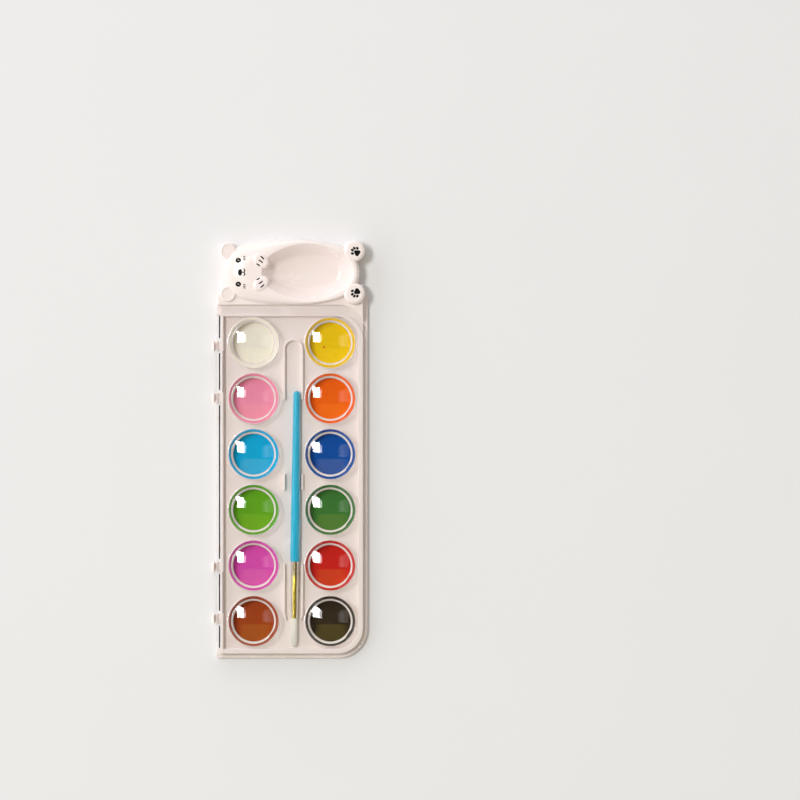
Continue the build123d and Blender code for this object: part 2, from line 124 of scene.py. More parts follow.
class Bench:
    """Places and links nodes in one shader tree."""

    def __init__(self, tree: bpy.types.NodeTree) -> None:
        """Holds the tree that the nodes go into."""
        self.tree = tree

    def node(
        self, kind: str, values: dict[str | int, Feed] | None = None, **settings: str
    ) -> bpy.types.Node:
        """Adds a node, sets its properties, and fills or links its inputs.

        Args:
            kind: the node type's name after "ShaderNode".
            values: for each input's name or number, a value or an output socket to link.
            **settings: properties of the node itself.

        Returns:
            The new node.
        """
        made = self.tree.nodes.new("ShaderNode" + kind)
        for name, value in settings.items():
            setattr(made, name, value)
        self.fill(made, values or {})
        return made

    def fill(self, node: bpy.types.Node, values: dict[str | int, Feed]) -> None:
        """Fills or links several of a node's inputs, by name or number."""
        for name, value in values.items():
            self.feed(node.inputs[name], value)

    def feed(self, socket: Socket, value: Feed) -> None:
        """Links an output socket into an input, or writes a plain value there.

        Args:
            socket: the input.
            value: the output socket or the plain value.
        """
        if isinstance(value, Socket):
            self.tree.links.new(value, socket)
        else:
            socket.default_value = value

    def maths(self, operation: str, first: Feed, second: Feed = 0.0) -> Socket:
        """Returns the result of one Math node."""
        made = self.node("Math", {0: first, 1: second}, operation=operation)
        return made.outputs[0]

    def weigh(self, first: Feed, first_share: float, second: Feed, second_share: float) -> Socket:
        """Adds up two values, each times a share of its own.

        Args:
            first: the first value.
            first_share: what the first is multiplied by.
            second: the second value.
            second_share: what the second is multiplied by.

        Returns:
            The sum.
        """
        one = self.maths("MULTIPLY", first, first_share)
        other = self.maths("MULTIPLY", second, second_share)
        return self.maths("ADD", one, other)

    def mix(self, factor: Feed, first: Feed, second: Feed) -> Socket:
        """Returns two colours mixed by a factor, where 0 gives the first."""
        made = self.node("Mix", {0: factor}, data_type="RGBA")
        self.fill(made, {6: first, 7: second})
        return made.outputs[2]

    def spread(
        self, value: Feed, low: float, high: float, out_low: Feed = 0.0, out_high: Feed = 1.0
    ) -> Socket:
        """Moves a value from one range to another along a smooth step, and holds it inside.

        Args:
            value: the value.
            low: where the step starts.
            high: where it ends.
            out_low: the result up to the start.
            out_high: the result from the end on.

        Returns:
            The moved value.
        """
        inputs = {0: value, 1: low, 2: high, 3: out_low, 4: out_high}
        return self.node("MapRange", inputs, interpolation_type="SMOOTHSTEP").outputs[0]

    def noise(self, vector: Feed, scale: Feed, detail: float = 3.0, rough: float = 0.5) -> Socket:
        """Returns the value of a three-dimensional noise."""
        values = {"Vector": vector, "Scale": scale, "Detail": detail, "Roughness": rough}
        return self.node("TexNoise", values).outputs[0]

    def axes(self, vector: Feed) -> tuple[Socket, ...]:
        """Returns a vector's x, y and z."""
        return tuple(self.node("SeparateXYZ", {0: vector}).outputs)

    def stretch(self, vector: Feed, along: float) -> Socket:
        """Returns coordinates scaled along Y, where a small share makes a pattern long."""
        return self.node("Mapping", {"Vector": vector, "Scale": (1.0, along, 1.0)}).outputs[0]

    def disc(self, vector: Feed, centre: Point, inner: float, outer: float) -> Socket:
        """Returns a soft dot: 1 up to the inner distance from its centre and 0 past the outer."""
        away = self.node("VectorMath", {0: vector, 1: centre}, operation="DISTANCE")
        return self.spread(away.outputs["Value"], inner, outer, 1.0, 0.0)


class Effect:
    """A shader node group with named sockets, built once and placed in many materials."""

    def __init__(self, name: str, inputs: dict[str, float], outputs: tuple[str, ...]) -> None:
        """Makes the group and its sockets.

        Args:
            name: the group's name.
            inputs: each number input with its usual value.
            outputs: the names of the number outputs.
        """
        self.tree = bpy.data.node_groups.new(name, "ShaderNodeTree")
        face = self.tree.interface
        face.new_socket("Vector", in_out="INPUT", socket_type="NodeSocketVector")
        for label, value in inputs.items():
            socket = face.new_socket(label, in_out="INPUT", socket_type="NodeSocketFloat")
            socket.default_value = value
        for label in outputs:
            face.new_socket(label, in_out="OUTPUT", socket_type="NodeSocketFloat")
        self.bench = Bench(self.tree)
        self.entry = self.tree.nodes.new("NodeGroupInput")
        self.exit = self.tree.nodes.new("NodeGroupOutput")

    def place(self, bench: Bench, vector: Feed, **values: Feed) -> bpy.types.Node:
        """Puts the group into a material.

        Args:
            bench: the material's bench.
            vector: the coordinates that the effect reads.
            **values: inputs that differ from their usual value, by name.

        Returns:
            The group node, whose outputs have the effect's names.
        """
        made = bench.tree.nodes.new("ShaderNodeGroup")
        made.node_tree = self.tree
        bench.fill(made, {"Vector": vector, **values})
        return made


class EffectShelf:
    """The effects that more than one material uses."""

    def __init__(self) -> None:
        """Builds each shared effect once."""
        self.mottle = self._mottle()
        self.handling = self._handling()
        self.powder = self._powder()

    @staticmethod
    def _mottle() -> Effect:
        """Makes the slow drift of tone in moulded plastic: broad noise with finer noise in it.

        Returns:
            The effect, with a tone from 0 to 1 and a fine ripple.
        """
        made = Effect("mottle", {"Broad": 26.0, "Fine": 190.0}, ("Tone", "Ripple"))
        bench, entry = made.bench, made.entry.outputs
        broad = bench.noise(entry["Vector"], entry["Broad"], detail=2.0)
        fine = bench.noise(entry["Vector"], entry["Fine"], detail=4.0)
        tone = bench.spread(bench.weigh(broad, 0.7, fine, 0.3), 0.36, 0.64)
        bench.fill(made.exit, {"Tone": tone, "Ripple": fine})
        return made

    @staticmethod
    def _handling() -> Effect:
        """Makes faint marks of use: patches of fine rubbing.

        Returns:
            The effect, with a mask of the patches.
        """
        made = Effect("handling", {"Patch": 60.0}, ("Rub",))
        bench, entry = made.bench, made.entry.outputs
        patch = bench.noise(entry["Vector"], entry["Patch"], detail=5.0, rough=0.6)
        bench.fill(made.exit, {"Rub": bench.spread(patch, 0.5, 0.72)})
        return made

    @staticmethod
    def _powder() -> Effect:
        """Makes pressed pigment: fine grains, soft clumps and sparse pits where grains fell out.

        Returns:
            The effect, with a tone from 0 to 1, a height and a mask of the pits.
        """
        inputs = {"Grain": 1900.0, "Clump": 420.0, "Cell": 520.0}
        made = Effect("pressed_powder", inputs, ("Tone", "Relief", "Pit"))
        bench, entry = made.bench, made.entry.outputs
        grain = bench.noise(entry["Vector"], entry["Grain"], 3.0, 0.6)
        clump = bench.noise(entry["Vector"], entry["Clump"], 4.0, 0.55)
        cell = {"Vector": entry["Vector"], "Scale": entry["Cell"]}
        from_seed = bench.node("TexVoronoi", cell, feature="F1").outputs["Distance"]
        hole = bench.spread(from_seed, 0.05, 0.16, 1.0, 0.0)
        pit = bench.maths("MULTIPLY", hole, bench.spread(clump, 0.56, 0.66))
        mixed = bench.weigh(grain, 0.55, clump, 0.45)
        relief = bench.maths("SUBTRACT", mixed, bench.maths("MULTIPLY", pit, 0.8))
        bench.fill(made.exit, {"Tone": bench.spread(mixed, 0.38, 0.62), "Relief": relief, "Pit": pit})
        return made


@dataclass(frozen=True)
class Finish:
    """A material with its own shader, ready for nodes."""

    name: str

    def start(self) -> tuple[bpy.types.Material, Bench, bpy.types.Node]:
        """Makes the empty material.

        Returns:
            The material, its bench and its Principled shader.
        """
        material = bpy.data.materials.new(self.name)
        material.use_nodes = True
        bench = Bench(material.node_tree)
        return material, bench, material.node_tree.nodes["Principled BSDF"]

    @staticmethod
    def place(bench: Bench) -> Socket:
        """Returns the piece's own coordinates, in metres."""
        return bench.node("TexCoord").outputs["Object"]

    @staticmethod
    def bump(bench: Bench, height: Feed, strength: float, depth: float) -> Socket:
        """Returns a normal that follows a height, at a depth in metres."""
        values = {"Strength": strength, "Distance": depth, "Height": height}
        return bench.node("Bump", values).outputs[0]


@dataclass(frozen=True)
class TrayPlastic(Finish):
    """Warm white glossy moulding: tone that drifts at random from pinkish to tan, painted shade that
    makes it tanner and darker towards -Y, and ejector marks.
    """

    warm: Colour = (0.925, 0.828, 0.813)
    tan: Colour = (0.885, 0.805, 0.75)
    shade_tan_until: float = -140.0 * MM
    shade_warm_from: float = 60.0 * MM
    tone_share: float = 0.45
    painted_shade_share: float = 0.4
    gloss: float = 0.2
    rubbed: float = 0.14
    coat: float = 0.15
    coat_rough: float = 0.06
    bump_share: float = 0.35
    relief: float = 0.12 * MM
    ripple_share: float = 0.5
    mark_share: float = 0.6
    mark_radius: float = 3.75 * MM
    mark_edge: float = 0.3 * MM
    marks: tuple[Pair, ...] = ((2.1, 59.1), (2.1, 35.7), (24.55, 46.7), (2.1, -103.0))

    def make(self, effects: EffectShelf) -> bpy.types.Material:
        """Makes the material.

        Args:
            effects: the shared effects.

        Returns:
            The material.
        """
        material, bench, shader = self.start()
        place = self.place(bench)
        mottle = effects.mottle.place(bench, place).outputs
        rub = effects.handling.place(bench, place).outputs["Rub"]
        # painted shade: the plastic turns tanner and darker towards -Y, away from the bear
        foot = bench.spread(bench.axes(place)[1], self.shade_tan_until, self.shade_warm_from, 1.0, 0.0)
        drift = bench.weigh(mottle["Tone"], self.tone_share, foot, self.painted_shade_share)
        ripple = bench.maths("MULTIPLY", mottle["Ripple"], self.ripple_share)
        height = bench.maths("ADD", ripple, self._ejector_marks(bench, place))
        bench.fill(shader, {
            "Base Color": bench.mix(drift, opaque(self.warm), opaque(self.tan)),
            "Roughness": bench.maths("ADD", bench.maths("MULTIPLY", rub, self.rubbed), self.gloss),
            "Normal": self.bump(bench, height, self.bump_share, self.relief),
            "IOR": PLASTIC_IOR,
            "Coat Weight": self.coat,
            "Coat Roughness": self.coat_rough,
        })
        return material

    def _ejector_marks(self, bench: Bench, place: Socket) -> Socket:
        """Works out shallow round steps, each a disc around one place on the floor.

        Args:
            bench: the material's bench.
            place: the piece's coordinates.

        Returns:
            The height of the marks, from 0 to their share.
        """
        level = bench.node("VectorMath", {0: place, 1: (1.0, 1.0, 0.0)}, operation="MULTIPLY")
        inner = self.mark_radius - self.mark_edge
        total = 0.0
        for x, y in self.marks:
            centre = (x * MM, y * MM, 0.0)
            disc = bench.disc(level.outputs[0], centre, inner, self.mark_radius)
            total = bench.maths("ADD", total, disc)
        return bench.maths("MULTIPLY", total, self.mark_share)


@dataclass(frozen=True)
class ClearPlastic(Finish):
    """Polished clear moulding with the faint ripple and rubbing of a used lid.

    The passed shares say how much light each surface lets through to what is below. The lines are
    painted shade: thin dark lines along the hinge side that stand for the deep, shadowed slot between
    the lid's wall and the tray's rim, with their places in millimetres.
    """

    tint: Colour = (LIGHTEST, LIGHTEST, LIGHTEST)
    flat_pass: float = 0.985
    bubble_pass: float = 0.30
    wall_pass: float = 0.95
    steep: float = 0.55
    level: float = 0.985
    sheet_top: float = 11.6 * MM
    shoulder: float = 0.6 * MM
    worn_shade: float = 0.985
    rubbed: float = 0.02
    bump_share: float = 0.012
    relief: float = 0.05 * MM
    dark: Colour = (0.03, 0.026, 0.026)
    long_line: float = -41.9
    short_line: float = -39.9
    short_share: float = 0.4
    line_core: float = 0.27
    line_edge: float = 0.54
    middle_y: float = -20.1
    long_reach: float = 99.5
    pair_from_middle: float = 66.2
    pair_reach: float = 12.4
    ear_from_pair: float = 15.6
    ear_reach: float = 4.5

    def make(self, effects: EffectShelf) -> bpy.types.Material:
        """Makes the material, whose shadow and diffuse rays pass straight on.

        Args:
            effects: the shared effects.

        Returns:
            The material.
        """
        material, bench, shader = self.start()
        place = self.place(bench)
        mottle = effects.mottle.place(bench, place, Broad=60.0, Fine=240.0).outputs
        rub = effects.handling.place(bench, place).outputs["Rub"]
        worn = shade(self.tint, self.worn_shade)
        body = bench.mix(mottle["Tone"], opaque(self.tint), opaque(worn))
        bench.fill(shader, {
            # painted shade: the lid is darkened along the hinge side, where the slot beside it lies in
            # shadow
            "Base Color": bench.mix(self._painted_slot_shade(bench, place), body, opaque(self.dark)),
            "Roughness": bench.maths("MULTIPLY", rub, self.rubbed),
            "Normal": self.bump(bench, mottle["Ripple"], self.bump_share, self.relief),
            "IOR": PLASTIC_IOR,
            "Transmission Weight": 1.0,
        })
        clear = bench.node("BsdfTransparent", {"Color": self._passed(bench, place)})
        ray = bench.node("LightPath").outputs
        soft = bench.maths("MAXIMUM", ray["Is Shadow Ray"], ray["Is Diffuse Ray"])
        both = bench.node("MixShader", {0: soft, 1: shader.outputs[0], 2: clear.outputs[0]})
        bench.fill(material.node_tree.nodes["Material Output"], {"Surface": both.outputs[0]})
        return material

    def _painted_slot_shade(self, bench: Bench, place: Socket) -> Socket:
        """Works out the painted shade: thin dark lines along the wall on the hinge side, clear of the ears.

        Args:
            bench: the material's bench.
            place: the piece's coordinates.

        Returns:
            A mask from 0 to 1.
        """
        x, y, _ = bench.axes(place)
        from_middle = self._away(bench, y, self.middle_y)
        from_pair = self._away(bench, from_middle, self.pair_from_middle)
        from_ear = self._away(bench, from_pair, self.ear_from_pair)
        clear = bench.maths("GREATER_THAN", from_ear, self.ear_reach * MM)
        within = bench.maths("LESS_THAN", from_middle, self.long_reach * MM)
        along = bench.maths("MULTIPLY", clear, within)
        long = bench.maths("MULTIPLY", self._line(bench, x, self.long_line), along)
        between = bench.maths("LESS_THAN", from_pair, self.pair_reach * MM)
        short = bench.maths("MULTIPLY", self._line(bench, x, self.short_line), between)
        return bench.maths("MAXIMUM", long, bench.maths("MULTIPLY", short, self.short_share))

    def _away(self, bench: Bench, value: Feed, middle: float) -> Socket:
        """Returns how far a coordinate is from a place given in millimetres."""
        return bench.maths("ABSOLUTE", bench.maths("SUBTRACT", value, middle * MM))

    def _line(self, bench: Bench, x: Feed, middle: float) -> Socket:
        """Returns a soft line along the set at a place across it."""
        away = self._away(bench, x, middle)
        return bench.spread(away, self.line_core * MM, self.line_edge * MM, 1.0, 0.0)

    def _passed(self, bench: Bench, place: Socket) -> Socket:
        """Works out how much light one surface passes on to what is below.

        Level surfaces pass the most. A steep one passes the wall's share up to the sheet's top
        and the bubble's share above it.

        Args:
            bench: the material's bench.
            place: the piece's coordinates.

        Returns:
            The share.
        """
        normal = bench.node("NewGeometry").outputs["Normal"]
        upright = bench.maths("ABSOLUTE", bench.axes(normal)[2])
        above = self.sheet_top + self.shoulder
        height = bench.axes(place)[2]
        least = bench.spread(height, self.sheet_top, above, self.wall_pass, self.bubble_pass)
        return bench.spread(upright, self.steep, self.level, least, self.flat_pass)


@dataclass(frozen=True)
class PressedPaint(Finish):
    """A dry pressed cake of watercolour: satin pigment with grain, clumps and small pits, whose
    colour is darkened as painted shade.
    """

    colour: Colour
    speck: Pair | None = None
    speck_colour: Colour = (0.62, 0.02, 0.004)
    speck_radius: float = 0.75 * MM
    speck_core: float = 0.55
    cake_top: float = 3.6 * MM
    deep_shade: float = 0.95
    pale_shade: float = 1.03
    pit_painted_shade: float = 0.62
    specular: float = 0.07
    bump_share: float = 0.3
    relief: float = 0.10 * MM

    def make(self, effects: EffectShelf) -> bpy.types.Material:
        """Makes the material, with a speck of another paint where one is given.

        Args:
            effects: the shared effects.

        Returns:
            The material.
        """
        material, bench, shader = self.start()
        place = self.place(bench)
        powder = effects.powder.place(bench, place).outputs
        deep, pale = shade(self.colour, self.deep_shade), shade(self.colour, self.pale_shade)
        body = bench.mix(powder["Tone"], opaque(deep), opaque(pale))
        # painted shade: the pits are darker, as shade falls in the small hollows
        body = bench.mix(powder["Pit"], body, opaque(shade(self.colour, self.pit_painted_shade)))
        if self.speck:
            centre = (self.speck[0] * MM, self.speck[1] * MM, self.cake_top)
            core = self.speck_radius * self.speck_core
            spot = bench.disc(place, centre, core, self.speck_radius)
            body = bench.mix(spot, body, opaque(self.speck_colour))
        bench.fill(shader, {
            "Base Color": body,
            "Roughness": bench.spread(powder["Tone"], 0.0, 1.0, 0.62, 0.48),
            "Normal": self.bump(bench, powder["Relief"], self.bump_share, self.relief),
            "Specular IOR Level": self.specular,
        })
        return material


@dataclass(frozen=True)
class HandleLacquer(Finish):
    """Glossy cyan lacquer over turned wood, whose grain and turning marks just show through."""

    colour: Colour = (0.001, 0.50, 0.76)
    grain: float = 1600.0
    along: float = 0.02
    deep_shade: float = 0.9
    pale_shade: float = 1.05
    gloss: float = 0.12
    rubbed: float = 0.08
    specular: float = 0.3
    coat_ior: float = 1.8
    coat_rough: float = 0.03
    bump_share: float = 0.12
    relief: float = 0.02 * MM

    def make(self, effects: EffectShelf) -> bpy.types.Material:
        """Makes the material.

        Args:
            effects: the shared effects.

        Returns:
            The material.
        """
        material, bench, shader = self.start()
        place = self.place(bench)
        grain = bench.noise(bench.stretch(place, self.along), self.grain)
        rub = effects.handling.place(bench, place, Patch=140.0).outputs["Rub"]
        deep, pale = shade(self.colour, self.deep_shade), shade(self.colour, self.pale_shade)
        tone = bench.spread(grain, 0.35, 0.65)
        bench.fill(shader, {
            "Base Color": bench.mix(tone, opaque(deep), opaque(pale)),
            "Roughness": bench.maths("ADD", bench.maths("MULTIPLY", rub, self.rubbed), self.gloss),
            "Normal": self.bump(bench, grain, self.bump_share, self.relief),
            "Specular IOR Level": self.specular,
            "Coat Weight": 1.0,
            "Coat IOR": self.coat_ior,
            "Coat Roughness": self.coat_rough,
        })
        return material


@dataclass(frozen=True)
class FerruleMetal(Finish):
    """Thin drawn tube with fine lines, whose colour is painted reflection: pale sides and a golden top
    that turns dull brown near the handle. Rubbed patches of wear dull it too.
    """

    # painted reflection: the colours that the room's light would give the metal's sides and top
    pale: Colour = (0.93, 0.91, 0.84)
    golden: Colour = (0.62, 0.48, 0.07)
    dull_reflection_and_wear: Colour = (0.32, 0.26, 0.13)
    golden_reflection_until: float = -78.0 * MM
    dull_reflection_from: float = -75.0 * MM
    lines: float = 3200.0
    along: float = 0.015
    rub_share: float = 0.5
    bump_share: float = 0.3
    relief: float = 0.02 * MM

    def make(self, effects: EffectShelf) -> bpy.types.Material:
        """Makes the material.

        Args:
            effects: the shared effects.

        Returns:
            The material.
        """
        material, bench, shader = self.start()
        place = self.place(bench)
        drawn = bench.noise(bench.stretch(place, self.along), self.lines, detail=2.0)
        rub = effects.handling.place(bench, place, Patch=170.0).outputs["Rub"]
        # painted reflection: the top turns dull brown near the handle; rubbed patches of wear dull it too
        upper = bench.spread(bench.axes(place)[1], self.golden_reflection_until, self.dull_reflection_from)
        worn = bench.maths("MAXIMUM", upper, bench.maths("MULTIPLY", rub, self.rub_share))
        top = bench.mix(worn, opaque(self.golden), opaque(self.dull_reflection_and_wear))
        # painted reflection: by the direction the surface faces, the sides are pale and the top golden
        normal = bench.node("NewGeometry").outputs["Normal"]
        side = bench.maths("ABSOLUTE", bench.axes(normal)[0])
        bench.fill(shader, {
            "Base Color": bench.mix(bench.spread(side, 0.35, 0.75), top, opaque(self.pale)),
            "Roughness": bench.spread(drawn, 0.3, 0.7, 0.16, 0.28),
            "Normal": self.bump(bench, drawn, self.bump_share, self.relief),
            "Metallic": 1.0,
        })
        return material


@dataclass(frozen=True)
class Hair(Finish):
    """Pale goat hair: each strand has its own tone, warmer at the root and paler at the tip.

    A little light of its own colour stands for the light that scatters inside the tuft.
    """

    root: Colour = (0.96, 0.92, 0.82)
    tip: Colour = (0.96, 0.95, 0.89)
    fibre: float = 2600.0
    deep_shade: float = 0.78
    deep_share: float = 0.35
    glow: float = 0.07
    bump_share: float = 0.2
    relief: float = 0.02 * MM

    def make(self) -> bpy.types.Material:
        """Makes the material.

        Returns:
            The material.
        """
        material, bench, shader = self.start()
        fine = bench.noise(self.place(bench), self.fibre, detail=2.0)
        lot = bench.node("Attribute", attribute_name="strand").outputs["Fac"]
        along = bench.node("Attribute", attribute_name="along").outputs["Fac"]
        body = bench.mix(bench.spread(along, 0.0, 0.7), opaque(self.root), opaque(self.tip))
        lots = bench.weigh(lot, 0.6, fine, 0.4)
        uneven = bench.spread(lots, 0.2, 0.9, 0.0, self.deep_share)
        body = bench.mix(uneven, body, opaque(shade(self.root, self.deep_shade)))
        bench.fill(shader, {
            "Base Color": body,
            "Emission Color": body,
            "Emission Strength": self.glow,
            "Roughness": bench.spread(fine, 0.3, 0.7, 0.38, 0.52),
            "Normal": self.bump(bench, fine, self.bump_share, self.relief),
        })
        return material


@dataclass(frozen=True)
class PrintInk(Finish):
    """Pad-printed ink: one colour, with a slightly uneven film."""

    colour: Colour
    thin_shade: float = 1.5
    specular: float = 0.06
    bump_share: float = 0.15
    relief: float = 0.02 * MM

    def make(self, effects: EffectShelf) -> bpy.types.Material:
        """Makes the material.

        Args:
            effects: the shared effects.

        Returns:
            The material.
        """
        material, bench, shader = self.start()
        film = effects.mottle.place(bench, self.place(bench), Broad=500.0, Fine=1600.0).outputs
        thin = shade(self.colour, self.thin_shade)
        bench.fill(shader, {
            "Base Color": bench.mix(film["Tone"], opaque(self.colour), opaque(thin)),
            "Roughness": bench.spread(film["Ripple"], 0.3, 0.7, 0.3, 0.42),
            "Normal": self.bump(bench, film["Ripple"], self.bump_share, self.relief),
            "Specular IOR Level": self.specular,
        })
        return material


@dataclass(frozen=True)
class PaleFloor(Finish):
    """The pale seamless board that the set lies on."""

    colour: Colour = (0.805, 0.812, 0.825)
    worn_shade: float = 0.995
    specular: float = 0.1

    def make(self, effects: EffectShelf) -> bpy.types.Material:
        """Makes the material.

        Args:
            effects: the shared effects.

        Returns:
            The material.
        """
        material, bench, shader = self.start()
        fibre = effects.mottle.place(bench, self.place(bench), Broad=12.0, Fine=400.0).outputs
        worn = shade(self.colour, self.worn_shade)
        bench.fill(shader, {
            "Base Color": bench.mix(fibre["Tone"], opaque(self.colour), opaque(worn)),
            "Roughness": bench.spread(fibre["Ripple"], 0.3, 0.7, 0.85, 0.95),
            "Specular IOR Level": self.specular,
        })
        return material


def grid_faces(across: int, along: int, closed: bool, start: int = 0) -> np.ndarray:
    """Works out the quads of a grid of points, row after row.

    Args:
        across: the points in each row.
        along: the number of rows.
        closed: whether each row joins its own start.
        start: the number of the grid's first point.

    Returns:
        One row of four point numbers for each quad.
    """
    steps = across if closed else across - 1
    row, column = np.meshgrid(np.arange(along - 1), np.arange(steps), indexing="ij")
    here = row * across + column
    beside = row * across + (column + 1) % across
    quads = np.stack([here, beside, beside + across, here + across], axis=-1)
    return quads.reshape(-1, 4) + start


def mesh_piece(name: str, points: np.ndarray, quads: np.ndarray) -> bpy.types.Object:
    """Makes a mesh object at the origin from whole arrays.

    Args:
        name: the piece's name.
        points: one row of x, y and z for each point, in metres.
        quads: one row of four point numbers for each face.

    Returns:
        The object, linked to the scene and smooth.
    """
    mesh = bpy.data.meshes.new(name)
    mesh.vertices.add(len(points))
    mesh.vertices.foreach_set("co", points.astype(np.float32).ravel())
    mesh.loops.add(quads.size)
    mesh.loops.foreach_set("vertex_index", quads.astype(np.int32).ravel())
    mesh.polygons.add(len(quads))
    mesh.polygons.foreach_set("loop_start", np.arange(0, quads.size, 4, dtype=np.int32))
    mesh.polygons.foreach_set("use_smooth", np.ones(len(quads), dtype=bool))
    mesh.update(calc_edges=True)
    mesh.validate()
    piece = bpy.data.objects.new(name, mesh)
    bpy.context.scene.collection.objects.link(piece)
    return piece


def point_attribute(piece: bpy.types.Object, name: str, values: np.ndarray) -> None:
    """Writes one number for each point of a piece, for its material to read."""
    layer = piece.data.attributes.new(name, "FLOAT", "POINT")
    layer.data.foreach_set("value", values.astype(np.float32).ravel())


def weld(piece: bpy.types.Object) -> None:
    """Joins the points that coincide, so that poles close and no face is left without area.

    Args:
        piece: the piece, whose mesh is changed.
    """
    shape = bmesh.new()
    shape.from_mesh(piece.data)
    bmesh.ops.remove_doubles(shape, verts=shape.verts, dist=WELD)
    shape.to_mesh(piece.data)
    shape.free()


def dress(node: bpy.types.Object, finish: bpy.types.Material) -> None:
    """Gives a piece one finish in place of any that it has."""
    node.data.materials.clear()
    node.data.materials.append(finish)


@dataclass
class InkMark:
    """One printed shape in the plane of the print, in millimetres of the set's frame.

    The shape is an ellipse in two parameters, share of the radius and turn around it, whose
    middle line can be bowed into an arc. Its turn is in degrees.
    """

    x: float
    y: float
    half: Pair
    turn: float = 0.0
    bow: float = 0.0
    squareness: float = 2.0
    lobes: float = 0.0

    def points(self, rings: int, spokes: int) -> np.ndarray:
        """Works out the flat points of the mark, ring after ring.

        A point is at a share of the rim, and the rim is a superellipse: the cosine and sine of
        the turn, each raised to two over the squareness. Three lobes swell the rim by the cosine
        of three turns. The bow lifts a point by the square of how far along it is. Then the mark
        is turned and moved to its place.

        Args:
            rings: the points from the middle to the rim.
            spokes: the points around each ring.

        Returns:
            One row of x, y and z for each point, in metres, above the bear.
        """
        share = np.linspace(0.0, 1.0, rings)[:, None]
        angle = np.linspace(0.0, 2 * np.pi, spokes, endpoint=False)[None, :]
        power = 2.0 / self.squareness
        swell = share * (1.0 + self.lobes * np.cos(3.0 * angle))
        half_long, half_wide = self.half
        long = np.sign(np.cos(angle)) * np.abs(np.cos(angle)) ** power * swell * half_long
        wide = np.sign(np.sin(angle)) * np.abs(np.sin(angle)) ** power * swell * half_wide
        wide = wide + self.bow * (1.0 - (long / half_long) ** 2)
        turn = math.radians(self.turn)
        x = self.x + long * math.cos(turn) - wide * math.sin(turn)
        y = self.y + long * math.sin(turn) + wide * math.cos(turn)
        return np.stack([x, y, np.full_like(x, PRINT_HEIGHT)], axis=-1).reshape(-1, 3) * MM


